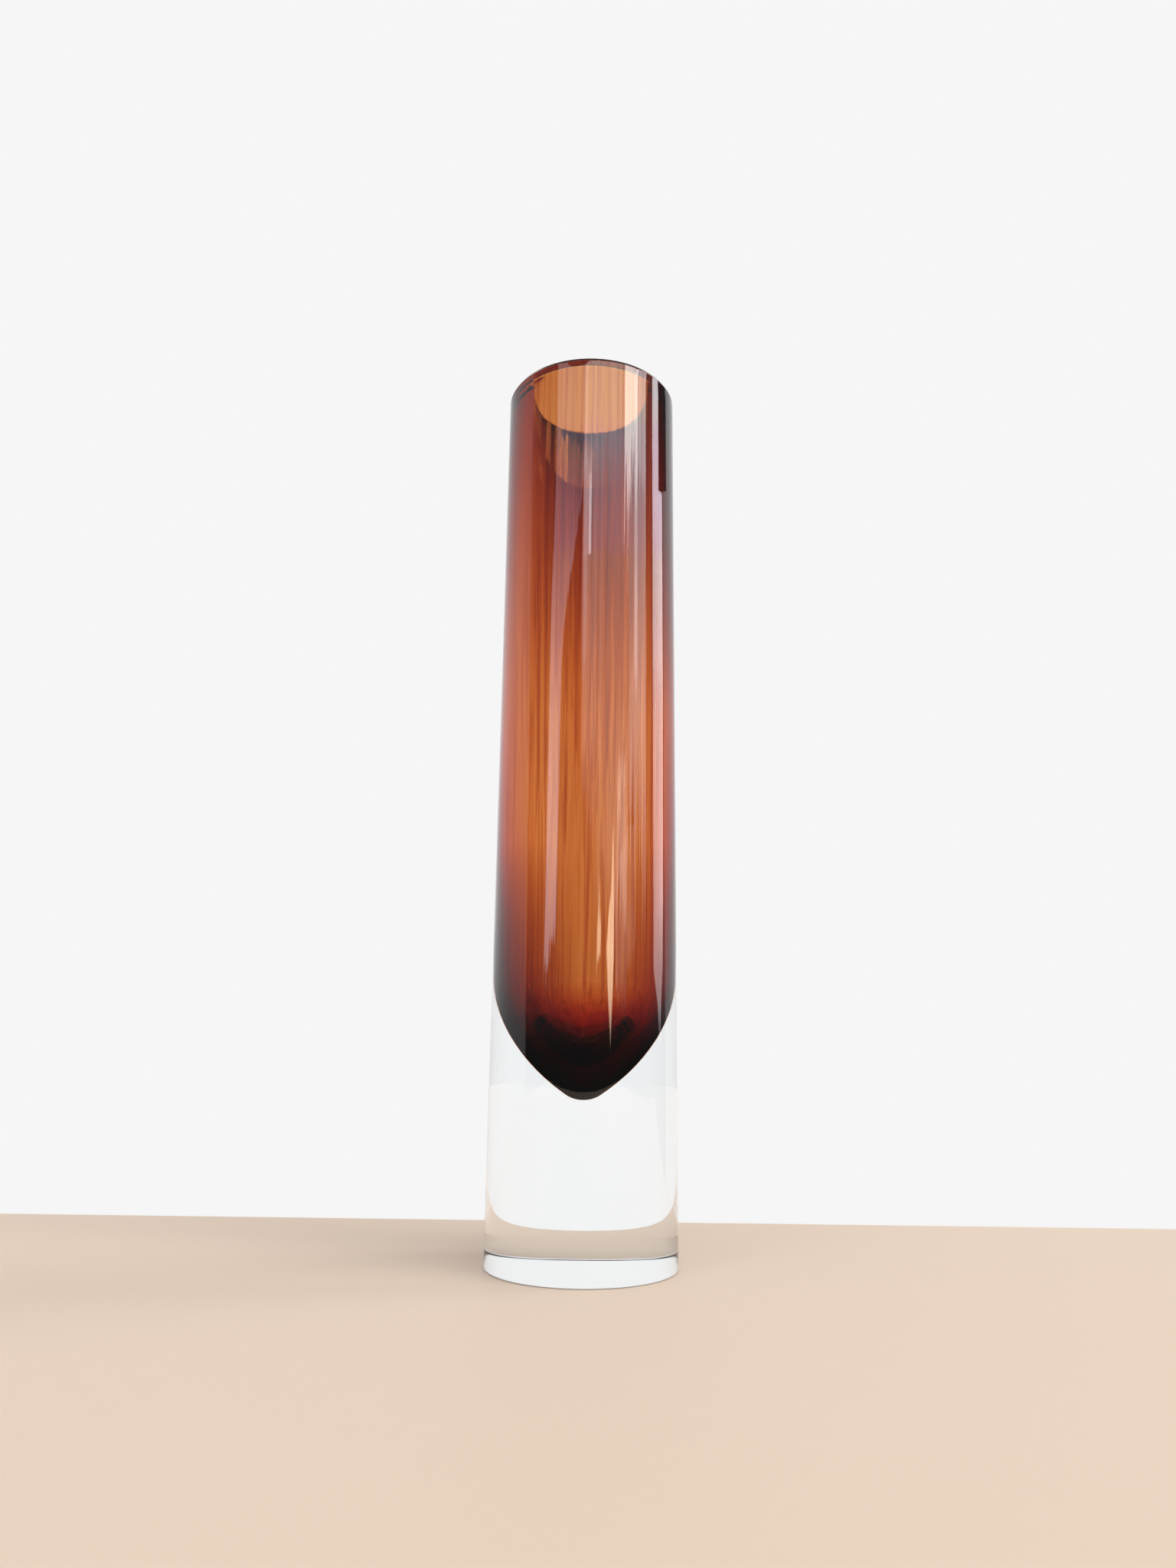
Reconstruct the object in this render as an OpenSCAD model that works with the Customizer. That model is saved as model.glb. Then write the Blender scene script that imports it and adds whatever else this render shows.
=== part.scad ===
// Bud vase of cased glass, standing on its base.
// A thick clear casing with a solid foot is fused round a coloured lining.
// The lining is a long cup with a pointed tip, and its inside is the bore that holds the stem.
// The origin is the centre of the base, and +Z is up.

/* [Vase] */
// Overall height, from the table to the rim
vase_h = 250; // [200:1:400]
// Outside diameter
vase_d = 50.5; // [44:0.5:64]

/* [Clear casing] */
// Solid clear glass between the base and the tip of the colour
foot_t = 42; // [15:0.5:70]
// Radius of the rounded bottom edge
foot_edge_r = 0.4; // [0.3:0.1:4]
// Height of the ground bevel round the outside of the rim
rim_bevel_h = 1.1; // [0.3:0.1:3]
// Width of the ground bevel round the outside of the rim
rim_bevel_w = 0.7; // [0.2:0.1:1.2]

/* [Bore] */
// Whole wall, clear and coloured, at the rim
wall_top_t = 7.2; // [5:0.1:9]
// Whole wall at the shoulder, where the closed end begins
wall_low_t = 9.7; // [7:0.1:12]
// Radius of the rounded bottom of the bore
bore_nose_r = 5; // [2:0.5:8]
// Width and height of the softened inner edge of the rim
lip_bevel = 0.4; // [0.1:0.1:0.8]

/* [Coloured lining] */
// Length of the pointed tip, from its point up to the shoulder
tip_h = 32; // [24:0.5:60]
// Radius of the rounded point of the tip
tip_nose_r = 4.5; // [2:0.5:8]
// Thickness of the colour at the point, measured upright
tip_t = 8.5; // [3:0.5:14]
// Thickness of the colour at the shoulder
lining_low_t = 1.1; // [0.6:0.1:2.5]
// Thickness of the colour at the rim
lining_top_t = 1.5; // [0.6:0.1:2.5]

/* [Smoothness] */
// Facets round the vase
facets = 128; // [48:8:256]
// Steps along each long curve of a profile
curve_steps = 16; // [6:1:32]
// Steps along each short curve of a profile
nose_steps = 10; // [4:1:20]

/* [Hidden] */
$fn = facets;

vase_r = vase_d / 2;
shoulder_z = foot_t + tip_h;
bore_end_z = foot_t + tip_t;
bore_low_r = vase_r - wall_low_t;
bore_top_r = vase_r - wall_top_t;
lining_low_r = bore_low_r + lining_low_t;
lining_top_r = bore_top_r + lining_top_t;

// Points of an arc about a centre, from one angle to another, measured from the +X direction.
// With first at 1 the starting point is left out, for an arc that carries on from another.
function arc(cx, cz, r, from, to, steps, first = 0) =
    [for (i = [first:steps]) let (a = from + (to - from) * i / steps) [cx + r * cos(a), cz + r * sin(a)]];

// Lean of a wall from upright, between the shoulder and its upper end
function lean(low_r, top_r, top_z) = atan2(top_r - low_r, top_z - shoulder_z);

// Radius of the long side curve of a closed end.
// It runs smoothly into the wall at the shoulder and into the round nose at the point.
function side_r(low_r, nose_r, end_h, tilt) =
    (pow(low_r, 2) + pow(end_h - nose_r, 2) - pow(nose_r, 2))
    / (2 * (low_r * cos(tilt) - (end_h - nose_r) * sin(tilt) - nose_r));

// Closed end of a cup, from its point on the axis up to the wall at the shoulder
function closed_end(end_z, low_r, nose_r, tilt) =
    let (
        nose_z = end_z + nose_r,
        big_r = side_r(low_r, nose_r, shoulder_z - end_z, tilt),
        side_x = low_r - big_r * cos(tilt),
        side_z = shoulder_z + big_r * sin(tilt),
        meet = atan2(nose_z - side_z, -side_x)
    )
    concat(
        arc(0, nose_z, nose_r, -90, meet, nose_steps),
        arc(side_x, side_z, big_r, meet, -tilt, curve_steps, first = 1)
    );

// Wall of a cup from its point up to a height, straight from the shoulder on
function cup_wall(end_z, low_r, top_r, nose_r, top_z) =
    concat(closed_end(end_z, low_r, nose_r, lean(low_r, top_r, top_z)), [[top_r, top_z]]);

// Surface where the colour meets the clear glass
lining_wall = cup_wall(foot_t, lining_low_r, lining_top_r, tip_nose_r, vase_h);

// Surface of the bore, with the softened edge of the lip
bore_wall = concat(
    cup_wall(bore_end_z, bore_low_r, bore_top_r, bore_nose_r, vase_h - lip_bevel),
    [[bore_top_r + lip_bevel, vase_h]]
);

// Outside of the vase, from the middle of the base up to the rim
outside = concat(
    [[0, 0]],
    arc(vase_r - foot_edge_r, foot_edge_r, foot_edge_r, -90, 0, nose_steps),
    [[vase_r, vase_h - rim_bevel_h], [vase_r - rim_bevel_w, vase_h]]
);

// Points in the opposite order
function reversed(points) = [for (i = [len(points) - 1:-1:0]) points[i]];

// Clear glass: the heavy foot and the outer part of the wall
module clear_casing() {
    color([0.90, 0.94, 0.94, 0.35])
        rotate_extrude()
            polygon(concat(outside, reversed(lining_wall)));
}

// Coloured glass: amber brown where it is thin and nearly black in the tip
module coloured_lining() {
    color([0.62, 0.27, 0.12])
        rotate_extrude()
            polygon(concat(lining_wall, reversed(bore_wall)));
}

clear_casing();
coloured_lining();
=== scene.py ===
"""Dresses the bud vase: a body of clear glass with a coloured lining inside it.

Lengths are in metres, +Z is up, and the origin is the centre of the base. The glass body
has the outside, the rim and the bore as one closed surface, because light crosses glass
only there. The lining lies a hair's breadth inside it and only takes colour out of the
light, as fused glass does.
"""

import logging
import math
from collections.abc import Callable
from dataclasses import dataclass, field
from enum import Enum

import bpy
from mathutils import Matrix, Vector, noise

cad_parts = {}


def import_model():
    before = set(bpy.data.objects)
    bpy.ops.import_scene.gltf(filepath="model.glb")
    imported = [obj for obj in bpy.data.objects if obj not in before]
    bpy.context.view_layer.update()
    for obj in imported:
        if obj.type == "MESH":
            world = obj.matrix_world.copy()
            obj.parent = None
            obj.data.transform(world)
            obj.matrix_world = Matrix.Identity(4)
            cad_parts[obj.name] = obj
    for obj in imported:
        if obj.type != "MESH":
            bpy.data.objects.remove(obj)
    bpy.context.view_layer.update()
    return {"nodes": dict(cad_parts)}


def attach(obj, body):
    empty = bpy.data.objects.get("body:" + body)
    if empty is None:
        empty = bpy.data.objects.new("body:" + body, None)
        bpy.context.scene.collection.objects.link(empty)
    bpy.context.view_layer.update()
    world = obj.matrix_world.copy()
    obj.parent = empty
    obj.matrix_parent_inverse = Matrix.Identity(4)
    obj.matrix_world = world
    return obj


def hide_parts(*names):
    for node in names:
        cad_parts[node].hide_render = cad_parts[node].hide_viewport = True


MM = 0.001
LOG = logging.getLogger("bud_vase")

Point = tuple[float, float]
Colour = tuple[float, float, float]
Operand = "Val | float"

WHITE: Colour = (1.0, 1.0, 1.0)

# How fast the broad and the narrow spikes along the lower end of a light change round the vase, per degree
RAGGED_SCALES = (0.28, 0.9)

# The level of the noise at which those spikes are read
RAGGED_LEVEL = 0.3

# Degrees of height that count as one unit where the streaks of a light are read
STREAK_RISE = 10.0

# Makes share * share * (1 - share) reach 1 at its highest, two thirds of the way up
BOW_PEAK = 27 / 4

# The scale at which the broad bands of a streaked colour are read, where the narrow ones have 1
BROAD_SHARE = 0.4

# How often light may turn inside the glass before it is given up, and how often it may be mirrored
LIGHT_BOUNCES = 32
GLOSS_BOUNCES = 12

# The kinds of ray that the world tells apart
RAY_KINDS = ("Camera", "Glossy", "Transmission")


class Kind(Enum):
    """The shader nodes that the finishes use."""

    MATH = "ShaderNodeMath"
    MIX = "ShaderNodeMix"
    NOISE = "ShaderNodeTexNoise"
    COORDS = "ShaderNodeTexCoord"
    SPLIT = "ShaderNodeSeparateXYZ"
    JOIN = "ShaderNodeCombineXYZ"
    RANGE = "ShaderNodeMapRange"
    BUMP = "ShaderNodeBump"
    PRINCIPLED = "ShaderNodeBsdfPrincipled"
    ABSORB = "ShaderNodeVolumeAbsorption"
    SURFACE = "ShaderNodeOutputMaterial"
    EMIT = "ShaderNodeEmission"
    STORED = "ShaderNodeAttribute"
    CLEAR = "ShaderNodeBsdfTransparent"
    TOGETHER = "ShaderNodeAddShader"
    RAYS = "ShaderNodeLightPath"
    SKY = "ShaderNodeBackground"
    SKY_OUT = "ShaderNodeOutputWorld"


class Val:
    """A number from a shader socket, so that sums on it add Math nodes."""

    def __init__(self, tree: "Shader", socket: bpy.types.NodeSocket) -> None:
        """Keeps the tree that new nodes go to, and the socket."""
        self.tree = tree
        self.socket = socket

    def _math(self, operation: str, *operands: Operand) -> "Val":
        """One Math node.

        Args:
            operation: the node's operation.
            operands: its inputs in order, each a Val or a number.

        Returns:
            The node's result.
        """
        node = self.tree.add(Kind.MATH, {"operation": operation}, dict(enumerate(operands)))
        return Val(self.tree, node.outputs[0])

    def __add__(self, other: Operand) -> "Val":
        """self + other."""
        return self._math("ADD", self, other)

    def __radd__(self, other: Operand) -> "Val":
        """other + self."""
        return self._math("ADD", other, self)

    def __sub__(self, other: Operand) -> "Val":
        """self - other."""
        return self._math("SUBTRACT", self, other)

    def __rsub__(self, other: Operand) -> "Val":
        """other - self."""
        return self._math("SUBTRACT", other, self)

    def __mul__(self, other: Operand) -> "Val":
        """self * other."""
        return self._math("MULTIPLY", self, other)

    def __rmul__(self, other: Operand) -> "Val":
        """other * self."""
        return self._math("MULTIPLY", other, self)

    def __neg__(self) -> "Val":
        """The value with its sign turned."""
        return self._math("MULTIPLY", self, -1.0)

    def highest(self, other: Operand) -> "Val":
        """The larger of the two."""
        return self._math("MAXIMUM", self, other)

    def angle_from(self, other: Operand) -> "Val":
        """The angle whose tangent is self over other, in radians, all the way round."""
        return self._math("ARCTAN2", self, other)

    def ramp(self, start: float, end: float) -> "Val":
        """A smooth step.

        Args:
            start: the value at which the step is 0.
            end: the value at which it is 1.

        Returns:
            The step, from 0 to 1.
        """
        settings = {"interpolation_type": "SMOOTHSTEP", "clamp": True}
        inputs = {"Value": self, "From Min": start, "From Max": end}
        node = self.tree.add(Kind.RANGE, settings, inputs)
        return Val(self.tree, node.outputs["Result"])


class Shader:
    """A node tree that is filled from code."""

    def __init__(self, tree: bpy.types.NodeTree) -> None:
        """Empties the tree and keeps it."""
        self.tree = tree
        tree.nodes.clear()

    def add(self, kind: Kind, settings: dict | None = None, inputs: dict | None = None) -> bpy.types.Node:
        """One node.

        Args:
            kind: the type of node.
            settings: its settings, which are made first.
            inputs: socket name or number to a Val, a socket, a number or a colour.

        Returns:
            The node.
        """
        node = self.tree.nodes.new(kind.value)
        for name, value in (settings or {}).items():
            setattr(node, name, value)
        for name, value in (inputs or {}).items():
            socket = node.inputs[name]
            if isinstance(value, Val):
                self.tree.links.new(value.socket, socket)
            elif isinstance(value, bpy.types.NodeSocket):
                self.tree.links.new(value, socket)
            else:
                socket.default_value = value
        return node

    def value(self, kind: Kind, output: str, settings: dict | None = None, inputs: dict | None = None) -> Val:
        """One node, of which one output is used.

        Args:
            kind: the type of node.
            output: the name of the output.
            settings: its settings.
            inputs: its sockets, as add takes them.

        Returns:
            That output.
        """
        return Val(self, self.add(kind, settings, inputs).outputs[output])

    def position(self, kind: str = "Object") -> tuple[Val, Val, Val]:
        """The place of the shaded point, or the direction in which a ray leaves for the world.

        Args:
            kind: Object for the place on the object, and Generated for the direction.

        Returns:
            Its x, y and z.
        """
        coords = self.add(Kind.COORDS).outputs[kind]
        split = self.add(Kind.SPLIT, None, {"Vector": coords})
        return tuple(Val(self, split.outputs[axis]) for axis in "XYZ")

    def vector(self, x: Operand, y: Operand, z: Operand) -> bpy.types.NodeSocket:
        """A vector made of three values."""
        return self.add(Kind.JOIN, None, {"X": x, "Y": y, "Z": z}).outputs["Vector"]

    def grain(self, place: bpy.types.NodeSocket, scale: float, detail: float, rough: float) -> Val:
        """Noise from 0 to 1.

        Args:
            place: the vector that it is read at.
            scale: how fine it is.
            detail: how many finer layers it has.
            rough: how strong those are.

        Returns:
            The noise.
        """
        inputs = {"Vector": place, "Scale": scale, "Detail": detail, "Roughness": rough}
        return self.value(Kind.NOISE, "Fac", {"normalize": True}, inputs)

    def blend(self, share: Operand, low: object, high: object) -> bpy.types.NodeSocket:
        """Two colours mixed.

        Args:
            share: how much of the second there is.
            low: the first colour, as four numbers or a socket.
            high: the second colour.

        Returns:
            The mixed colour.
        """
        inputs = {"Factor": share, 6: low, 7: high}
        return self.add(Kind.MIX, {"data_type": "RGBA"}, inputs).outputs[2]


def rgba(colour: Colour) -> tuple[float, float, float, float]:
    """The colour with a full alpha."""
    return (*colour, 1.0)


@dataclass(frozen=True)
class VaseSizes:
    """The sizes of the solids, which the pieces here follow."""

    height: float = 250 * MM
    diameter: float = 50.5 * MM
    foot: float = 42 * MM
    foot_edge: float = 0.4 * MM
    rim_bevel_h: float = 1.1 * MM
    rim_bevel_w: float = 0.7 * MM
    wall_top: float = 7.2 * MM
    wall_low: float = 9.7 * MM
    bore_nose: float = 5 * MM
    lip_bevel: float = 0.4 * MM
    tip_h: float = 32 * MM
    tip_nose: float = 4.5 * MM
    tip_thick: float = 8.5 * MM
    lining_low: float = 1.1 * MM
    lining_top: float = 1.5 * MM

    @property
    def radius(self) -> float:
        """The outside radius."""
        return self.diameter / 2

    @property
    def shoulder(self) -> float:
        """The height at which the closed end of the lining begins."""
        return self.foot + self.tip_h

    @property
    def bore_end(self) -> float:
        """The height of the bottom of the bore."""
        return self.foot + self.tip_thick


def arc(centre: Point, radius: float, start: float, end: float, steps: int, first: int = 0) -> list[Point]:
    """Points of an arc.

    Args:
        centre: its centre.
        radius: its radius.
        start: the angle of its first point from +X, in radians.
        end: the angle of its last point.
        steps: how many parts it has.
        first: 1 leaves out the first point.

    Returns:
        The points in order.
    """
    angles = [start + (end - start) * i / steps for i in range(first, steps + 1)]
    return [(centre[0] + radius * math.cos(a), centre[1] + radius * math.sin(a)) for a in angles]


def between(start: Point, end: Point, share: float) -> Point:
    """The point a share of the way along a straight line."""
    return (start[0] + (end[0] - start[0]) * share, start[1] + (end[1] - start[1]) * share)


def line(start: Point, end: Point, steps: int) -> list[Point]:
    """The points that part a straight line evenly, without its two ends.

    Args:
        start: the line's first end.
        end: its last end.
        steps: how many parts it has.

    Returns:
        The points in order.
    """
    return [between(start, end, i / steps) for i in range(1, steps)]


@dataclass(frozen=True)
class CupWall:
    """One wall of the cup: a round nose, a long curve and a leaning straight."""

    sizes: VaseSizes
    end: float
    low_r: float
    top_r: float
    nose: float
    top: float
    bow: float = 0.55 * MM
    nose_steps: int = 12
    curve_steps: int = 24
    straight_steps: int = 60

    @property
    def lean(self) -> float:
        """The lean of the straight from upright, in radians."""
        return math.atan2(self.top_r - self.low_r, self.top - self.sizes.shoulder)

    def points(self) -> list[Point]:
        """The wall from its point on the axis up to its upper end.

        Returns:
            Its points in order, each a radius and a height.
        """
        shoulder, tilt = self.sizes.shoulder, self.lean
        rise = shoulder - self.end - self.nose
        reach = 2 * (self.low_r * math.cos(tilt) - rise * math.sin(tilt) - self.nose)
        side = (self.low_r**2 + rise**2 - self.nose**2) / reach
        centre = (self.low_r - side * math.cos(tilt), shoulder + side * math.sin(tilt))
        nose_z = self.end + self.nose
        meet = math.atan2(nose_z - centre[1], -centre[0])
        straight = line((self.low_r, shoulder), (self.top_r, self.top), self.straight_steps)
        return [
            *arc((0.0, nose_z), self.nose, -math.pi / 2, meet, self.nose_steps),
            *arc(centre, side, meet, -tilt, self.curve_steps, first=1),
            *((r + self.bow_at((z - shoulder) / (self.top - shoulder)), z) for r, z in straight),
            (self.top_r, self.top),
        ]

    def bow_at(self, share: float) -> float:
        """How far the wall bows out at a share of the way from the shoulder to the top."""
        return self.bow * BOW_PEAK * share * share * (1 - share)


def bore_wall(sizes: VaseSizes) -> CupWall:
    """The wall of the bore, up to the softened edge of the lip.

    Args:
        sizes: the sizes of the vase.

    Returns:
        The wall.
    """
    low_r, top_r = sizes.radius - sizes.wall_low, sizes.radius - sizes.wall_top
    return CupWall(sizes, sizes.bore_end, low_r, top_r, sizes.bore_nose, sizes.height - sizes.lip_bevel)


def lining_wall(sizes: VaseSizes) -> CupWall:
    """The wall where the colour meets the clear glass.

    Args:
        sizes: the sizes of the vase.

    Returns:
        The wall.
    """
    low_r = sizes.radius - sizes.wall_low + sizes.lining_low
    top_r = sizes.radius - sizes.wall_top + sizes.lining_top
    return CupWall(sizes, sizes.foot, low_r, top_r, sizes.tip_nose, sizes.height)


def smooth(value: float, start: float, end: float) -> float:
    """A smooth step from 0 at the start to 1 at the end."""
    share = min(max((value - start) / (end - start), 0.0), 1.0)
    return share * share * (3 - 2 * share)


@dataclass(frozen=True)
class OffCentre:
    """How far the blown bore and its lining stand out of the middle, from the shoulder up."""

    start: float = 75 * MM
    end: float = 210 * MM
    side: float = -0.25 * MM

    def at(self, height: float) -> float:
        """The offset along X at a height."""
        return self.side * smooth(height, self.start, self.end)


@dataclass(frozen=True)
class Ring:
    """One ring of a turned piece: its radius, height and offset, and how its radius changes round it."""

    radius: float
    height: float
    swell: Callable[[float, float], float] | None = None
    across: float = 0.0

    def at(self, turn: float) -> Vector:
        """The ring's point at an angle from +X, in radians."""
        radius = self.radius + (self.swell(turn, self.height) if self.swell else 0.0)
        return Vector((self.across + radius * math.cos(turn), radius * math.sin(turn), self.height))


def turned(name: str, rings: list[Ring], segments: int) -> bpy.types.Object:
    """A closed piece turned about the axis.

    Args:
        name: the name of the piece.
        rings: its rings in order, with the outside on the right hand as they go up. The first and
            the last are points on the axis.
        segments: how many faces go round it.

    Returns:
        The piece, shaded smooth, in the scene.
    """
    turns = [2 * math.pi * i / segments for i in range(segments)]
    points = [Vector((0, 0, pole.height)) for pole in (rings[0], rings[-1])]
    first, rows = len(points), len(rings) - 2
    for ring in rings[1:-1]:
        points += [ring.at(turn) for turn in turns]
    sides = [(i, (i + 1) % segments) for i in range(segments)]
    faces: list[tuple[int, ...]] = []
    for low in range(first, first + (rows - 1) * segments, segments):
        high = low + segments
        faces += [(low + i, low + j, high + j, high + i) for i, j in sides]
    top = first + (rows - 1) * segments
    for i, j in sides:
        faces += [(0, first + j, first + i), (1, top + i, top + j)]
    mesh = bpy.data.meshes.new(name)
    mesh.from_pydata(points, [], faces)
    mesh.validate()
    mesh.shade_smooth()
    piece = bpy.data.objects.new(name, mesh)
    bpy.context.scene.collection.objects.link(piece)
    return piece


@dataclass(frozen=True)
class Grain:
    """Something uneven that runs upright: how strong it is, and how fine round the vase and up it."""

    depth: float
    round_scale: float
    up_scale: float
    shift: float

    def place(self, turn: float, height: float) -> Vector:
        """Where the noise is read for an angle and a height."""
        near, side = math.cos(turn) * self.round_scale, math.sin(turn) * self.round_scale
        return Vector((near, side, height * self.up_scale)) + Vector((self.shift, 0, 0))


@dataclass(frozen=True)
class Waves(Grain):
    """Slow waves that hand-worked glass keeps, long upright and short round the vase."""

    def __call__(self, turn: float, height: float) -> float:
        """How far the surface stands out at an angle and a height."""
        return self.depth * noise.noise(self.place(turn, height))


@dataclass(frozen=True)
class Streaks(Grain):
    """How a colour or a light is streaked: strong and weak bands that run upright."""

    def at(self, turn: float, height: float) -> float:
        """The strength at an angle and a height, about 1."""
        place = self.place(turn, height)
        return 1.0 + self.depth * (noise.noise(place * BROAD_SHARE) + noise.noise(place))


@dataclass(frozen=True)
class Texture:
    """How a finish reads its noise: how it is stretched, how fine and rough it is, and where it shows."""

    across: float
    up: float
    scale: float
    detail: float = 2.0
    rough: float = 0.5
    start: float = 0.0
    end: float = 1.0

    def on(self, shader: Shader) -> Val:
        """The noise on the object that the shader dresses.

        Args:
            shader: the node tree of the finish.

        Returns:
            The noise, from 0 to 1.
        """
        x, y, z = shader.position()
        place = shader.vector(x * self.across, y * self.across, z * self.up)
        return shader.grain(place, self.scale, self.detail, self.rough)

    def shown(self, shader: Shader) -> Val:
        """The noise, from 0 below its start to 1 above its end."""
        return self.on(shader).ramp(self.start, self.end)


@dataclass(frozen=True)
class ClearGlass:
    """Clear glass, polished, with fine marks where the foot meets the table."""

    refraction: float = 1.5
    tint: Colour = (0.92, 0.98, 1.0)
    tint_density: float = 8.0
    marks: Texture = Texture(40.0, 900.0, 5.0, 4.0, 0.7, 0.60, 0.72)
    mark_height: float = 9 * MM
    mark_roughness: float = 0.06
    waves: Texture = Texture(1.0, 0.12, 260.0)
    wave_depth: float = 0.006 * MM
    ripples: Texture = Texture(0.35, 1.0, 430.0, 1.0)
    ripple_depth: float = 0.004 * MM
    ripple_start: float = 80 * MM
    ripple_full: float = 110 * MM

    def material(self) -> bpy.types.Material:
        """The finish as a material.

        Returns:
            The material, with fine marks near the base and slow waves in the surface.
        """
        made = bpy.data.materials.new("clear_glass")
        made.use_nodes = True
        shader = Shader(made.node_tree)
        z = shader.position()[2]
        marks = self.marks.shown(shader) * z.ramp(self.mark_height, 0.0)
        ripple = self.ripples.on(shader) * z.ramp(self.ripple_start, self.ripple_full)
        height = self.waves.on(shader) * self.wave_depth + ripple * self.ripple_depth
        bump = shader.value(Kind.BUMP, "Normal", None, {"Strength": 1.0, "Distance": 1.0, "Height": height})
        surface = shader.add(
            Kind.PRINCIPLED,
            None,
            {
                "Base Color": rgba(WHITE),
                "Roughness": marks * self.mark_roughness,
                "IOR": self.refraction,
                "Transmission Weight": 1.0,
                "Normal": bump,
            },
        )
        volume = shader.add(Kind.ABSORB, None, {"Color": rgba(self.tint), "Density": self.tint_density})
        shader.add(Kind.SURFACE, None, {"Surface": surface.outputs[0], "Volume": volume.outputs[0]})
        return made


@dataclass(frozen=True)
class ColouredGlass:
    """Coloured glass, fused inside the clear glass, so light goes straight through its surface."""

    name: str
    keeps: Colour
    density: float
    streak: Colour = (0.88, 0.74, 0.66)
    streaks: Texture = Texture(1.0, 0.012, 700.0, 3.0, 0.6, 0.50, 0.64)

    def material(self) -> bpy.types.Material:
        """The finish as a material.

        Returns:
            The material, which takes colour out of the light along its way, and more in the streaks.
        """
        made = bpy.data.materials.new(self.name)
        made.use_nodes = True
        shader = Shader(made.node_tree)
        surface = shader.add(
            Kind.PRINCIPLED,
            None,
            {
                "Base Color": shader.blend(self.streaks.shown(shader), rgba(WHITE), rgba(self.streak)),
                "Roughness": 0.0,
                "IOR": 1.0,
                "Transmission Weight": 1.0,
            },
        )
        volume = shader.add(Kind.ABSORB, None, {"Color": rgba(self.keeps), "Density": self.density})
        shader.add(Kind.SURFACE, None, {"Surface": surface.outputs[0], "Volume": volume.outputs[0]})
        return made


@dataclass
class GlassBody:
    """The clear glass with its bore: the outside, the rim and the inside as one surface."""

    sizes: VaseSizes
    finish: ClearGlass
    segments: int = 384
    side_steps: int = 60
    edge_steps: int = 6
    off_centre: OffCentre = OffCentre()
    arris: float = 0.15 * MM
    crisp: float = 0.03 * MM
    lip_turn: float = math.pi / 4
    outer_waves: Waves = Waves(0.006 * MM, 2.2, 9.0, 3.0)
    bore_waves: Waves = Waves(0.012 * MM, 5.0, 12.0, 11.0)

    def rings(self) -> list[Ring]:
        """The outline from the middle of the base up the outside and down the bore.

        Returns:
            Its rings in order. The outside and its bevel stand on the axis, and the lip goes with
            the bore, which stands a little off it.
        """
        s = self.sizes
        edge = (s.radius - s.foot_edge, s.foot_edge)
        lean = math.atan2(s.rim_bevel_w, s.rim_bevel_h)
        turn_z = s.height - s.rim_bevel_h - self.arris * math.tan(lean / 2)
        outside = [
            *line((0.0, 0.0), (edge[0], 0.0), self.edge_steps),
            *arc(edge, s.foot_edge, -math.pi / 2, 0.0, self.edge_steps),
            *line((s.radius, s.foot_edge), (s.radius, turn_z), self.side_steps),
            (s.radius, turn_z - self.crisp),
            *arc((s.radius - self.arris, turn_z), self.arris, 0.0, lean, self.edge_steps),
        ]
        top = (s.radius - s.rim_bevel_w, s.height)
        bore = bore_wall(s).points()
        lip_z = bore[-1][1] - self.arris * math.tan(self.lip_turn / 2)
        lip, inner = (bore[-1][0] + s.lip_bevel, s.height), (bore[-1][0], lip_z)
        lip_centre = (inner[0] + self.arris, lip_z)
        lip_round = arc(lip_centre, self.arris, math.pi - self.lip_turn, math.pi, self.edge_steps)
        bevel, flat = self.crisped(outside[-1], top), self.crisped(top, lip)
        soft = self.crisped(lip, lip_round[0])
        rings = [Ring(0.0, 0.0)]
        rings += [Ring(r, z, self.outer_waves if z < turn_z else None) for r, z in outside if r > 0.0]
        rings += [Ring(r, z) for r, z in (*bevel[1:], *flat[:2])]
        rings += [Ring(r, z, None, self.off_centre.at(z)) for r, z in (flat[2], *soft, *lip_round)]
        inside = [(inner[0], inner[1] - self.crisp), *reversed(bore[1:-1])]
        rings += [Ring(r, z, self.bore_waves, self.off_centre.at(z)) for r, z in inside]
        rings += [Ring(*bore[0])]
        return rings

    def crisped(self, start: Point, end: Point) -> list[Point]:
        """Two points close to the ends of a flat strip, which keep its shading flat.

        Args:
            start: the strip's first edge.
            end: its last edge.

        Returns:
            The first edge and both points.
        """
        share = self.crisp / math.dist(start, end)
        return [start, between(start, end, share), between(end, start, share)]

    def build(self) -> bpy.types.Object:
        """Makes the piece, dresses it and puts it on the body.

        Returns:
            The piece.
        """
        piece = turned("glass_body", self.rings(), self.segments)
        piece.data.materials.append(self.finish.material())
        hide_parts("clear_casing")
        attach(piece, "root")
        return piece


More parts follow.
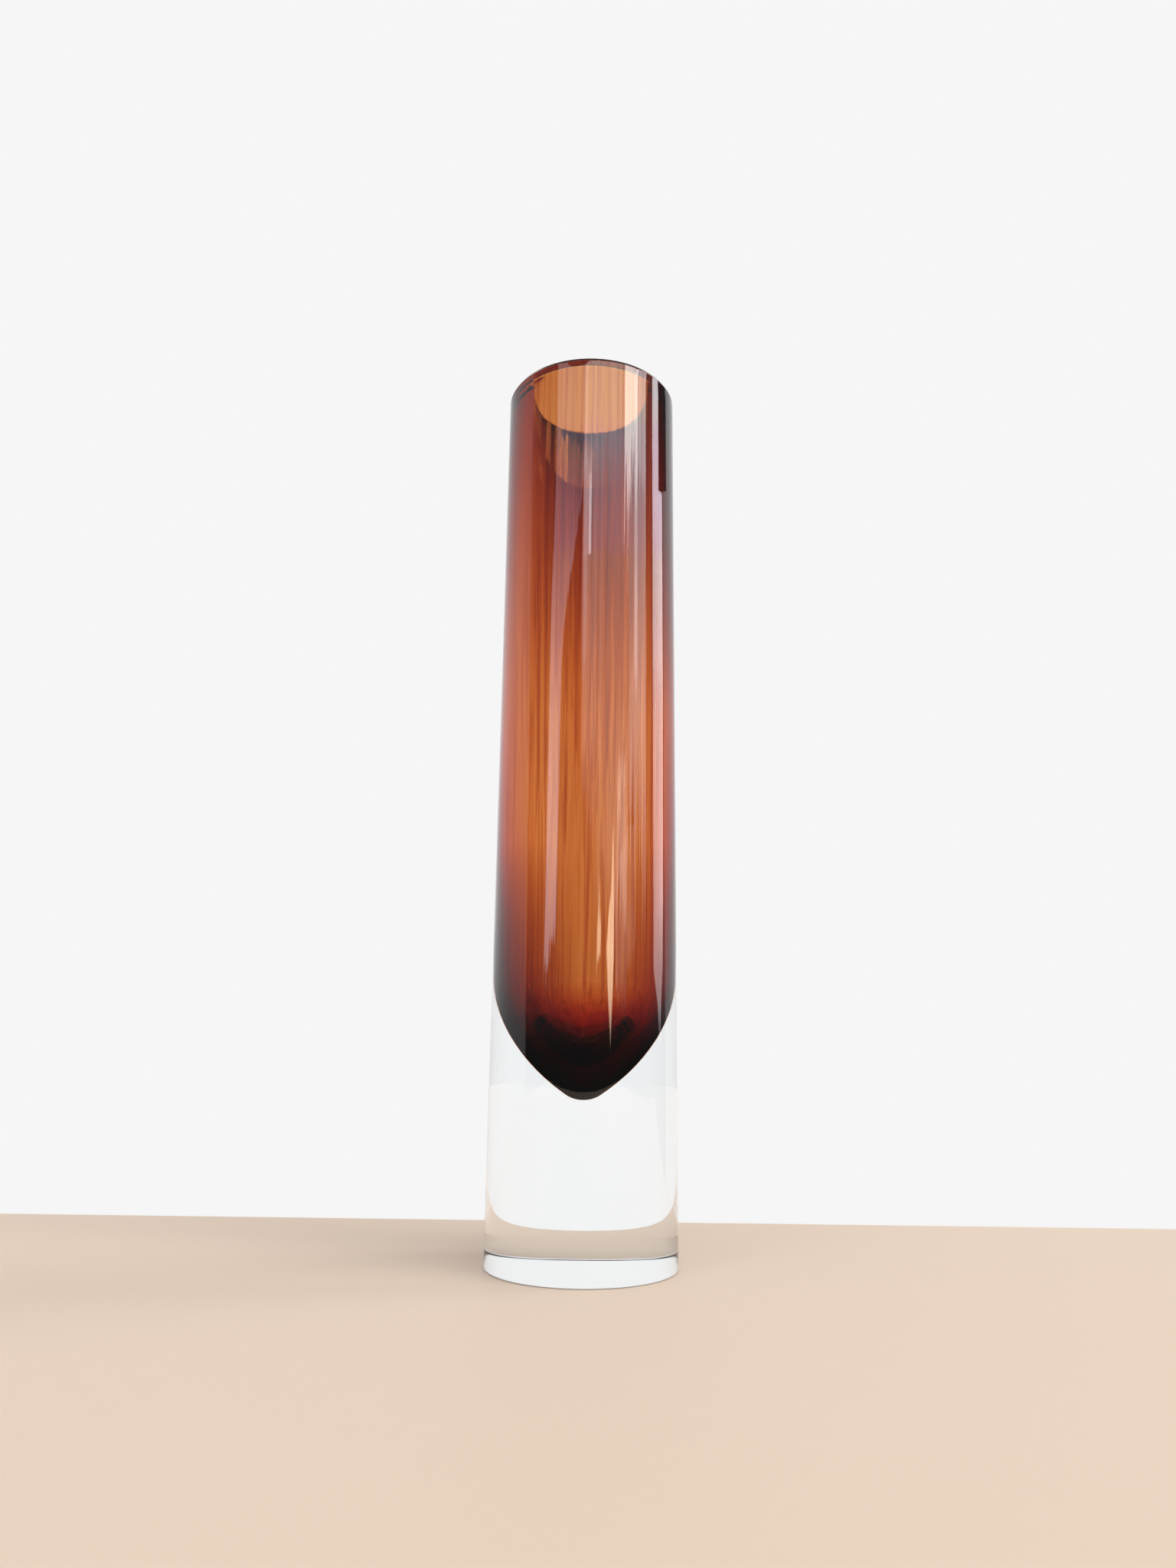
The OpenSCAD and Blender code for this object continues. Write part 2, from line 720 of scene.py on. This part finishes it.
@dataclass
class ColouredLining:
    """The coloured glass: a closed cup between the bore and the clear glass."""

    sizes: VaseSizes
    finish: ColouredGlass
    segments: int = 384
    gap: float = 0.05 * MM
    off_centre: OffCentre = OffCentre()
    streak_waves: Waves = Waves(0.10 * MM, 7.0, 8.0, 5.0)
    side_loss: float = 0.46 * MM
    side_height: float = 160 * MM
    side_reach: float = 80 * MM

    def swell(self, turn: float, height: float) -> float:
        """How the colour is thicker or thinner than its wall.

        Args:
            turn: the angle round the vase, from +X.
            height: the height.

        Returns:
            How far the outer wall stands out, or in where it is less than 0.
        """
        away = (height - self.side_height) / self.side_reach
        return self.streak_waves(turn, height) - self.side_loss * math.cos(turn) ** 2 * math.exp(-away * away)

    def rings(self) -> list[Ring]:
        """The outline from the tip up the outer wall and down the inner wall.

        Returns:
            Its rings in order.
        """
        outer = lining_wall(self.sizes).points()
        inner = bore_wall(self.sizes).points()
        top = self.sizes.height - self.gap
        shift, swell = self.off_centre.at, self.swell
        rings = [Ring(*outer[0])]
        rings += [Ring(r, z, swell if z > self.sizes.shoulder else None, shift(z)) for r, z in outer[1:-1]]
        rings += [Ring(outer[-1][0], top, None, shift(top))]
        rings += [Ring(inner[-1][0] + self.sizes.lip_bevel + self.gap, top, None, shift(top))]
        rings += [Ring(r + self.gap, z, None, shift(z)) for r, z in reversed(inner[1:])]
        rings += [Ring(0.0, inner[0][1] - self.gap)]
        return rings

    def build(self) -> bpy.types.Object:
        """Makes the piece, dresses it and puts it on the body.

        Returns:
            The piece.
        """
        piece = turned("coloured_layer", self.rings(), self.segments)
        piece.data.materials.append(self.finish.material())
        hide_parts("coloured_lining")
        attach(piece, "root")
        return piece


@dataclass
class DarkLayer:
    """Dark glass: a cup in the lining, thick in the tip and at the back of the mouth, the side away from the
    camera, where it makes the far wall look darker through the mouth.
    """

    sizes: VaseSizes
    finish: ColouredGlass
    segments: int = 384
    gap: float = 0.06 * MM
    least: float = 0.012 * MM
    tip_top: float = 110 * MM
    tip_haze: float = 0.08 * MM
    tip_side_haze: float = 0.33 * MM
    tip_right_share: float = 0.4
    tip_thick: float = 1.6 * MM
    tip_fall: float = 10.0
    floor_radius: float = 3.2 * MM
    mouth_start: float = 145 * MM
    back_focus: float = 2.5
    back_thick: float = 0.62 * MM
    back_rise: float = 1.6
    front_thick: float = 0.10 * MM
    rim_back_thick: float = 1.3 * MM
    rim_rise: float = 12.0
    right_thick: float = 0.45 * MM
    right_focus: float = 6.0
    right_rise: float = 1.5
    off_centre: OffCentre = OffCentre()
    streaks: Streaks = Streaks(0.35, 26.0, 3.0, 17.0)

    def thickness(self, turn: float, height: float) -> float:
        """How thick the colour is.

        Args:
            turn: the angle round the vase, from +X.
            height: the height.

        Returns:
            The thickness.
        """
        low = max(self.tip_top - height, 0.0) / (self.tip_top - self.sizes.foot)
        high = max(height - self.mouth_start, 0.0) / (self.sizes.height - self.mouth_start)
        back = ((1 + math.sin(turn)) / 2) ** self.back_focus
        side = max(-math.cos(turn), self.tip_right_share * math.cos(turn))
        tip = (self.tip_haze + self.tip_side_haze * side) * low + self.tip_thick * low**self.tip_fall
        # More dark glass at the back, the side away from the camera, near the top and at the rim: the far
        # wall looks darker through the mouth
        mouth = back * self.back_thick * high**self.back_rise + (1 - back) * self.front_thick * high
        rim = self.rim_back_thick * back * high**self.rim_rise
        right = self.right_thick * max(math.cos(turn), 0.0) ** self.right_focus * high**self.right_rise
        return self.least + (tip + mouth + rim + right) * self.streaks.at(turn, height)

    def inward(self, turn: float, height: float) -> float:
        """How far the inside stands in from the outside, as a swell below 0."""
        return -self.thickness(turn, height)

    def rings(self) -> list[Ring]:
        """The outline from the tip up the outside and back down the inside.

        Returns:
            Its rings in order.
        """
        s, shift = self.sizes, self.off_centre.at
        outer = [(r - self.gap, min(z, s.height - self.gap)) for r, z in lining_wall(s).points()]
        point = s.foot + self.gap
        floor = point + self.thickness(-math.pi / 2, s.foot)
        rings = [Ring(0.0, point)]
        rings += [Ring(r, z, None, shift(z)) for r, z in outer if r > self.gap]
        inside = [(r, z) for r, z in reversed(outer) if z > floor and r > self.floor_radius]
        rings += [Ring(r, z, self.inward, shift(z)) for r, z in inside]
        rings += [Ring(0.0, floor)]
        return rings

    def build(self) -> bpy.types.Object:
        """Makes the piece, dresses it and puts it on the body.

        Returns:
            The piece.
        """
        piece = turned("dark_layer", self.rings(), self.segments)
        piece.data.materials.append(self.finish.material())
        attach(piece, "root")
        return piece


@dataclass(frozen=True)
class Row:
    """One level of a soft box.

    Its height is an angle, left and right are where it begins and ends round the vase, and glow is how
    bright it is on the left, and on the right too unless glow_right says otherwise.
    """

    rise: float
    left: float
    right: float
    glow: float
    glow_right: float | None = None

    def towards(self, other: "Row", share: float) -> "Row":
        """The level between this one and another.

        Args:
            other: the other level.
            share: how far towards it, from 0 to 1.

        Returns:
            The new level.
        """
        pairs = zip(
            (self.rise, self.left, self.right, self.glow, self.right_glow),
            (other.rise, other.left, other.right, other.glow, other.right_glow),
        )
        return Row(*(low + (high - low) * share for low, high in pairs))

    @property
    def right_glow(self) -> float:
        """How bright the right end is."""
        return self.glow if self.glow_right is None else self.glow_right


@dataclass
class SoftBox:
    """A soft light that the glass mirrors. Angles are in degrees, and 0 is the camera's side."""

    name: str
    rows: list[Row]
    tint: Colour = WHITE
    high_tint: Colour | None = None
    tint_from: float = 24.8
    tint_to: float = 31.3
    tint_soft: float = 1.0
    edge: float = 1.0
    streaks: Streaks = Streaks(0.0, 1.0, 0.0, 0.0)
    ragged: float = 0.0
    blocks: bool = False
    distance: float = 3.0
    eye_height: float = 58.8 * MM
    eye_distance: float = 0.28
    column_step: float = 0.3
    level_step: float = 0.3

    def row_at(self, rise: float) -> Row | None:
        """The level at a height.

        Args:
            rise: the height, in degrees.

        Returns:
            The level, or None above and below the light.
        """
        for low, high in zip(self.rows, self.rows[1:]):
            if low.rise <= rise <= high.rise:
                return low.towards(high, (rise - low.rise) / (high.rise - low.rise))
        return None

    def glow_at(self, turn: float, rise: float) -> float:
        """How bright the light is.

        Args:
            turn: the direction round the vase, in degrees.
            rise: the height, in degrees.

        Returns:
            The brightness, which is 0 outside the light.
        """
        bottom, top = self.rows[0].rise, self.rows[-1].rise
        places = (Vector((turn * scale, self.streaks.shift, RAGGED_LEVEL)) for scale in RAGGED_SCALES)
        spikes = sum(noise.noise(place) for place in places)
        row = self.row_at(rise + self.ragged * spikes * (top - rise) / (top - bottom))
        if row is None or not row.left < turn < row.right:
            return 0.0
        share = (turn - row.left) / (row.right - row.left)
        fade = smooth(min(turn - row.left, row.right - turn), 0.0, self.edge)
        streak = max(self.streaks.at(math.radians(turn), rise / STREAK_RISE), 0.0)
        return (row.glow + (row.right_glow - row.glow) * share) * fade * streak

    def tint_at(self, rise: float) -> Vector:
        """The tint at a height, which is the high one only between its two heights.

        Args:
            rise: the height, in degrees.

        Returns:
            The tint.
        """
        above = smooth(rise, self.tint_from, self.tint_from + self.tint_soft)
        below = smooth(rise, self.tint_to + self.tint_soft, self.tint_to)
        return Vector(self.tint).lerp(Vector(self.high_tint or self.tint), above * below)

    def material(self) -> bpy.types.Material:
        """The light as a material: it adds to what lies behind it, or hides that where it blocks.

        Returns:
            The material.
        """
        made = bpy.data.materials.new(self.name)
        made.use_nodes = True
        shader = Shader(made.node_tree)
        colour = shader.add(Kind.STORED, {"attribute_name": "light"}).outputs["Color"]
        light = shader.add(Kind.EMIT, None, {"Color": colour, "Strength": 1.0}).outputs[0]
        if not self.blocks:
            clear = shader.add(Kind.CLEAR).outputs[0]
            light = shader.add(Kind.TOGETHER, None, {0: light, 1: clear}).outputs[0]
        shader.add(Kind.SURFACE, None, {"Surface": light})
        return made

    def build(self) -> bpy.types.Object:
        """Makes the light as a curved card round the vase.

        Returns:
            The card.
        """
        left, right = min(row.left for row in self.rows), max(row.right for row in self.rows)
        bottom, top = self.rows[0].rise - self.ragged, self.rows[-1].rise
        columns = math.ceil((right - left) / self.column_step)
        levels = math.ceil((top - bottom) / self.level_step)
        points: list[Vector] = []
        glows: list[Vector] = []
        for level in range(levels + 1):
            rise = bottom + (top - bottom) * level / levels
            reach = self.distance + self.eye_distance
            height = self.eye_height + reach * math.tan(math.radians(rise))
            tint = self.tint_at(rise)
            for column in range(columns + 1):
                turn = left + (right - left) * column / columns
                side, near = math.sin(math.radians(turn)), -math.cos(math.radians(turn))
                points.append(Vector((side * self.distance, near * self.distance, height)))
                glows.append(tint * self.glow_at(turn, rise))
        width = columns + 1
        faces = [
            (a, a + 1, a + width + 1, a + width)
            for level in range(levels)
            for a in range(level * width, level * width + columns)
        ]
        mesh = bpy.data.meshes.new(self.name)
        mesh.from_pydata(points, [], faces)
        stored = mesh.attributes.new("light", "FLOAT_COLOR", "POINT")
        for item, glow in zip(stored.data, glows):
            item.color = (*glow, 1.0)
        card = bpy.data.objects.new(self.name, mesh)
        bpy.context.scene.collection.objects.link(card)
        card.data.materials.append(self.material())
        card.visible_camera = False
        card.visible_transmission = False
        return card


@dataclass(frozen=True)
class TableFinish:
    """A pale warm table, plain and dull."""

    colour: Colour = (0.75, 0.62, 0.50)
    roughness: float = 0.6
    gloss: float = 0.2

    def material(self) -> bpy.types.Material:
        """The finish as a material.

        Returns:
            The material.
        """
        made = bpy.data.materials.new("pale_table")
        made.use_nodes = True
        shader = Shader(made.node_tree)
        surface = shader.add(
            Kind.PRINCIPLED,
            None,
            {"Base Color": rgba(self.colour), "Roughness": self.roughness, "Specular IOR Level": self.gloss},
        )
        shader.add(Kind.SURFACE, None, {"Surface": surface.outputs[0]})
        return made


@dataclass(frozen=True)
class Step:
    """Where a smooth step in the surroundings begins and ends, as a part of a direction of length 1."""

    start: float
    end: float

    def of(self, value: Val) -> Val:
        """The step of a value, from 0 at its start to 1 at its end."""
        return value.ramp(self.start, self.end)


@dataclass
class Studio:
    """The pale table, the white surroundings and the soft boxes. Angles are in degrees."""

    finish: TableFinish
    half_width: float = 0.8
    front: float = 0.9
    back: float = 0.07
    thick: float = 0.02
    drop: float = 0.0002
    white: float = 0.92
    ambient: float = 0.55
    ceiling: float = 3.0
    ceiling_up: Step = Step(0.62, 0.68)
    ceiling_near: Step = Step(0.0, 0.1)
    zenith_loss: float = 0.8
    zenith: Step = Step(0.78, 0.86)
    mirror_tint: Colour = (1.0, 0.97, 0.98)
    bright_left: float = 1.10
    left_high_loss: float = 0.32
    left_high: Step = Step(0.31, 0.55)
    left_low_loss: float = 0.30
    left_low: Step = Step(0.14, -0.02)
    dim: float = 0.38
    dim_low: float = 0.14
    dim_up: Step = Step(-0.02, 0.05)
    white_left: float = -74.0
    white_left_lean: float = 0.42
    white_right: float = 118.0
    dark_to: float = 97.0
    soft: float = 1.5
    boxes: list[SoftBox] = field(default_factory=list)

    def table(self) -> bpy.types.Object:
        """Makes the table, whose back edge is a little behind the vase.

        Returns:
            The table.
        """
        corners = [(-1, -self.front), (1, -self.front), (1, self.back), (-1, self.back)]
        levels = (-self.drop - self.thick, -self.drop)
        points = [(x * self.half_width, y, z) for z in levels for x, y in corners]
        faces = [(3, 2, 1, 0), (4, 5, 6, 7), (0, 1, 5, 4), (1, 2, 6, 5), (2, 3, 7, 6), (3, 0, 4, 7)]
        mesh = bpy.data.meshes.new("table")
        mesh.from_pydata(points, [], faces)
        mesh.materials.append(self.finish.material())
        table = bpy.data.objects.new("table", mesh)
        bpy.context.scene.collection.objects.link(table)
        return table

    def mirrored_room(self, shader: Shader) -> Val:
        """What the glass mirrors: a white room to the sides and behind, and a dim one in front.

        Args:
            shader: the world's node tree.

        Returns:
            How bright it is in each direction.
        """
        _, y, z = shader.position("Generated")
        turn, edge = self.turn(shader), math.radians(self.soft)
        left, right = math.radians(self.white_left), math.radians(self.white_right)
        on_left = (turn + z * self.white_left_lean).ramp(left + edge, left - edge)
        on_right = turn.ramp(right - edge, right + edge)
        front = self.dim_low + (self.dim - self.dim_low) * self.dim_up.of(z)
        loss = self.left_high_loss * self.left_high.of(z) + self.left_low_loss * self.left_low.of(z)
        seen = (on_left * (self.bright_left - loss)).highest(self.white * on_right).highest(front)
        above = self.ceiling_up.of(z) * self.ceiling_near.of(-y)
        return seen * (1.0 - self.zenith_loss * self.zenith.of(z)) + above * self.ceiling

    def room_through(self, shader: Shader) -> Val:
        """What light that goes through the glass ends on: white, but for the dim front.

        Args:
            shader: the world's node tree.

        Returns:
            How bright it is in each direction.
        """
        turn, edge = self.turn(shader), math.radians(self.soft)
        left, end = math.radians(self.white_left), math.radians(self.dark_to)
        in_front = turn.ramp(left - edge, left + edge) * turn.ramp(end + edge, end - edge)
        return self.white - (self.white - self.dim) * in_front

    def turn(self, shader: Shader) -> Val:
        """The direction round the vase, in radians, where 0 is the camera's side."""
        x, y, _ = shader.position("Generated")
        return x.angle_from(-y)

    def surroundings(self) -> None:
        """Makes the world: white for the camera, a room for the glass and an even light for the rest."""
        world = bpy.data.worlds.new("surroundings")
        bpy.context.scene.world = world
        world.use_nodes = True
        shader = Shader(world.node_tree)
        rays = shader.add(Kind.RAYS).outputs
        camera, glossy, through = (Val(shader, rays[f"Is {name} Ray"]) for name in RAY_KINDS)
        # Glossy also holds for light that goes through clear glass, so that is taken out of it
        mirrored = glossy * (1.0 - through)
        other = 1.0 - camera.highest(glossy).highest(through)
        seen = mirrored * self.mirrored_room(shader) + through * self.room_through(shader)
        strength = camera * self.white + seen + other * self.ambient
        colour = shader.blend(mirrored, rgba(WHITE), rgba(self.mirror_tint))
        sky = shader.add(Kind.SKY, None, {"Color": colour, "Strength": strength})
        shader.add(Kind.SKY_OUT, None, {"Surface": sky.outputs[0]})

    def build(self) -> None:
        """Makes the whole studio."""
        self.table()
        self.surroundings()
        for box in self.boxes:
            box.build()
            LOG.info("soft box %s", box.name)


@dataclass(frozen=True)
class PictureCamera:
    """The camera, low in front of the vase and tilted up. Its angles are in degrees."""

    frame_height: int = 2048
    focal_pixels: float = 1391.0
    sensor: float = 36.0
    across: float = 2.08 * MM
    distance: float = 297.7 * MM
    height: float = 58.8 * MM
    tilt: float = 13.21
    turn: float = -0.34
    roll: float = 0.70
    nearest: float = 10 * MM

    def build(self) -> bpy.types.Object:
        """Makes the camera and gives it to the scene.

        Returns:
            The camera.
        """
        data = bpy.data.cameras.new("camera")
        data.sensor_width = self.sensor
        data.lens = self.sensor * self.focal_pixels / self.frame_height
        data.clip_start = self.nearest
        camera = bpy.data.objects.new("camera", data)
        turn = Matrix.Rotation(math.radians(-self.turn), 4, "Z")
        tilt = Matrix.Rotation(math.pi / 2 + math.radians(self.tilt), 4, "X")
        roll = Matrix.Rotation(math.radians(self.roll), 4, "Z")
        place = Matrix.Translation((self.across, -self.distance, self.height))
        camera.matrix_world = place @ turn @ tilt @ roll
        bpy.context.scene.collection.objects.link(camera)
        bpy.context.scene.camera = camera
        return camera


def soft_boxes() -> list[SoftBox]:
    """The lights round the vase.

    Returns:
        The soft boxes, the large ones first and the low, small ones last.
    """
    return [
        SoftBox(
            "left_window",
            [
                Row(1.6, -49, -47.5, 0.3),
                Row(3.0, -50.7, -45, 3.6),
                Row(4.6, -50.7, -42, 3.9),
                Row(5.8, -50.7, -35.5, 4.2),
                Row(13, -50.7, -34.6, 4.4),
                Row(18.5, -50.7, -34, 3.6),
                Row(20.5, -51, -32, 2.9),
                Row(22.8, -50.7, -28, 2.5),
                Row(25, -49, -20, 2.1),
                Row(28.5, -47.6, -9, 1.7, 1.3),
                Row(30.5, -47.6, -4, 1.4, 1.2),
                Row(31.5, -47.6, -4, 2.0, 1.6),
                Row(36, -47.6, -4, 1.8, 1.6),
            ],
            (1.0, 0.92, 0.98),
            (0.94, 0.78, 1.0),
            streaks=Streaks(0.25, 40.0, 0.4, 2.0),
            ragged=2.0,
        ),
        SoftBox(
            "front_wall",
            [
                Row(6.3, 12, 38, 0.1, 0.6),
                Row(7.5, 10, 39, 0.4, 1.6),
                Row(9.5, 8, 40, 0.4, 2.0),
                Row(11.5, 0, 40.5, 0.4, 2.3),
                Row(13.6, -7.7, 54, 0.9, 2.4),
                Row(15.5, -7.7, 55, 1.9, 2.3),
                Row(17, -7.7, 55, 2.0, 1.9),
                Row(20, -7.7, 55, 2.2, 2.0),
                Row(24.9, -7.7, 55, 2.2, 2.2),
                Row(25.4, -9, 55, 2.4, 2.8),
                Row(28.5, -9, 55, 2.5, 3.0),
                Row(30.6, -9, 55, 3.9, 4.0),
                Row(36, -9, 55, 3.9, 4.0),
            ],
            (1.0, 0.98, 0.85),
            (1.0, 0.86, 0.98),
            edge=0.8,
            streaks=Streaks(0.3, 34.0, 0.6, 5.0),
            ragged=3.5,
        ),
        SoftBox(
            "middle_gap",
            [
                Row(25.2, -1.9, 2.4, 7.0),
                Row(28.8, -1.9, 2.4, 6.0),
                Row(29.6, -1.2, 2.0, 2.4),
                Row(31.5, -0.5, 1.5, 0),
            ],
            edge=0.8,
            distance=2.9,
        ),
        SoftBox(
            "middle_gap_left",
            [
                Row(15, -7.7, -5.5, 0),
                Row(18.5, -8, -4.6, 0.5),
                Row(20, -9, -2.8, 1.7),
                Row(25, -9.6, -2.4, 2.0),
                Row(25.3, -9, -2.2, 2.4),
                Row(29.8, -8.8, -2.2, 2.2),
                Row(30.6, -8.2, -4, 0),
            ],
            edge=0.8,
            streaks=Streaks(0.35, 60.0, 0.2, 8.0),
            distance=2.9,
        ),
        SoftBox(
            "right_low_window",
            [
                Row(6.4, 39.5, 52, 1.2),
                Row(7.6, 39, 53, 3.4, 3.0),
                Row(10, 38.8, 53.8, 4.6, 3.0),
                Row(12, 38.8, 53.8, 4.8, 2.4),
                Row(13.6, 38.8, 53.8, 3.6, 1.4),
                Row(14.8, 38.8, 53.8, 0.6, 0.8),
            ],
            (1.0, 0.95, 0.86),
            streaks=Streaks(0.4, 50.0, 0.8, 9.0),
            ragged=2.5,
            distance=2.9,
        ),
        SoftBox(
            "right_wall",
            [
                Row(7, 74, 81.4, 0.3, 1.0),
                Row(10, 66, 81.4, 0.4, 2.0),
                Row(11.5, 60, 81.4, 1.2, 2.4),
                Row(13.5, 54, 81.4, 1.8, 2.7),
                Row(15, 54, 81.4, 3.8, 2.7),
                Row(18.5, 54, 81.4, 4.0, 3.0),
                Row(20, 54, 81.4, 3.2, 3.2),
                Row(28.4, 54, 81.4, 3.2, 3.8),
                Row(29.4, 54, 81.4, 6.4, 5.6),
                Row(36, 54, 81.4, 7.0, 5.6),
            ],
            (1.0, 0.98, 0.90),
            (1.0, 0.93, 0.98),
            edge=0.8,
            streaks=Streaks(0.35, 45.0, 0.5, 12.0),
            ragged=5.0,
        ),
        SoftBox(
            "right_window",
            [
                Row(17.5, 62, 67, 0),
                Row(19.3, 61.4, 67.4, 3.6),
                Row(23.8, 61.4, 67.4, 3.8),
                Row(25, 61.4, 67.4, 3.0),
                Row(36, 61.4, 67.4, 3.2),
            ],
            edge=0.8,
            streaks=Streaks(0.3, 70.0, 0.5, 21.0),
            distance=2.9,
        ),
        SoftBox(
            "high_right",
            [Row(28.2, 47, 67, 0), Row(29.4, 46.4, 67.4, 10.0, 2.4), Row(36, 46.4, 67.4, 10.4, 2.4)],
            (1.0, 0.97, 0.90),
            edge=0.8,
            streaks=Streaks(0.15, 50.0, 0.3, 31.0),
            ragged=5.0,
            distance=2.8,
        ),
        SoftBox(
            "side_window",
            [
                Row(-0.5, 105, 107, 0.6),
                Row(1.6, 101, 109, 2.6),
                Row(3.4, 93.4, 112.5, 3.2, 2.4),
                Row(7, 93.4, 114, 3.6, 4.9),
                Row(14, 93.4, 115.5, 4.2, 4.0),
                Row(18, 93.4, 116, 4.4, 4.6),
                Row(20, 93.4, 116, 5.6, 5.6),
                Row(24, 93.4, 116, 5.4, 5.6),
                Row(28.4, 93.4, 116, 7.6, 4.8),
                Row(28.6, 93.4, 109.5, 7.4, 4.4),
                Row(36, 93.4, 108.5, 7.0, 5.0),
            ],
            (1.0, 0.97, 0.97),
            (0.96, 0.86, 1.0),
            edge=0.8,
            streaks=Streaks(0.25, 50.0, 0.5, 41.0),
        ),
        SoftBox(
            "dark_panel",
            [Row(28.5, 107.5, 128, 0.1), Row(36, 107, 128, 0.1)],
            edge=0.1,
            blocks=True,
            distance=2.9,
        ),
        SoftBox(
            "low_lamp",
            [
                Row(-1.0, 32.0, 32.5, 1),
                Row(0.4, 30.5, 33.6, 9),
                Row(2.4, 27.5, 35.5, 11),
                Row(4.4, 26, 36.3, 13),
                Row(6.2, 28, 36.3, 11),
                Row(7.4, 30.8, 36.2, 10),
                Row(9.5, 32.3, 35.6, 8),
                Row(11, 33.4, 34.8, 4),
            ],
            (1.0, 0.82, 0.53),
            edge=1.4,
            streaks=Streaks(0.3, 60.0, 1.0, 51.0),
            distance=2.8,
        ),
        SoftBox(
            "low_lamp_left",
            [
                Row(2.4, 13.7, 14.8, 1),
                Row(3.6, 13.8, 16, 6),
                Row(4.2, 14.3, 20, 9),
                Row(5.4, 14.3, 20.4, 9),
                Row(6.6, 15.3, 19, 5),
                Row(9, 16, 17.5, 0.6),
            ],
            (1.0, 0.84, 0.56),
            edge=1.4,
            distance=2.8,
        ),
        SoftBox(
            "low_glints",
            [
                Row(1.2, 40, 47, 0.4),
                Row(3.2, 38, 55, 1.8, 0.3),
                Row(5.6, 36.5, 66, 1.6, 0.8),
                Row(8, 36.5, 66, 1.2, 0.5),
                Row(11, 54, 64, 1.2, 0.5),
            ],
            (1.0, 0.95, 0.86),
            streaks=Streaks(0.9, 80.0, 1.2, 61.0),
            ragged=2.0,
        ),
    ]


def set_render_look() -> None:
    """Plain colours, and enough bounces for light to cross both layers twice."""
    scene = bpy.context.scene
    scene.view_settings.view_transform = "Standard"
    scene.cycles.max_bounces = LIGHT_BOUNCES
    scene.cycles.transmission_bounces = LIGHT_BOUNCES
    scene.cycles.glossy_bounces = GLOSS_BOUNCES


def main() -> None:
    """Builds the vase and its studio."""
    logging.basicConfig(level=logging.INFO, format="%(name)s: %(message)s")
    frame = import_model()
    LOG.info("frame: %d nodes", len(frame["nodes"]))
    set_render_look()
    sizes = VaseSizes()
    amber = ColouredGlass("amber_glass", (0.903, 0.539, 0.055), 1540.0)
    dark_finish = ColouredGlass("dark_glass", (0.75, 0.525, 0.125), 8000.0)
    parts = (
        GlassBody(sizes, ClearGlass()),
        ColouredLining(sizes, amber),
        DarkLayer(sizes, dark_finish),
    )
    for part in parts:
        piece = part.build()
        LOG.info("%s: %d points", piece.name, len(piece.data.vertices))
    Studio(TableFinish(), boxes=soft_boxes()).build()
    PictureCamera().build()


if __name__ == "__main__":
    main()
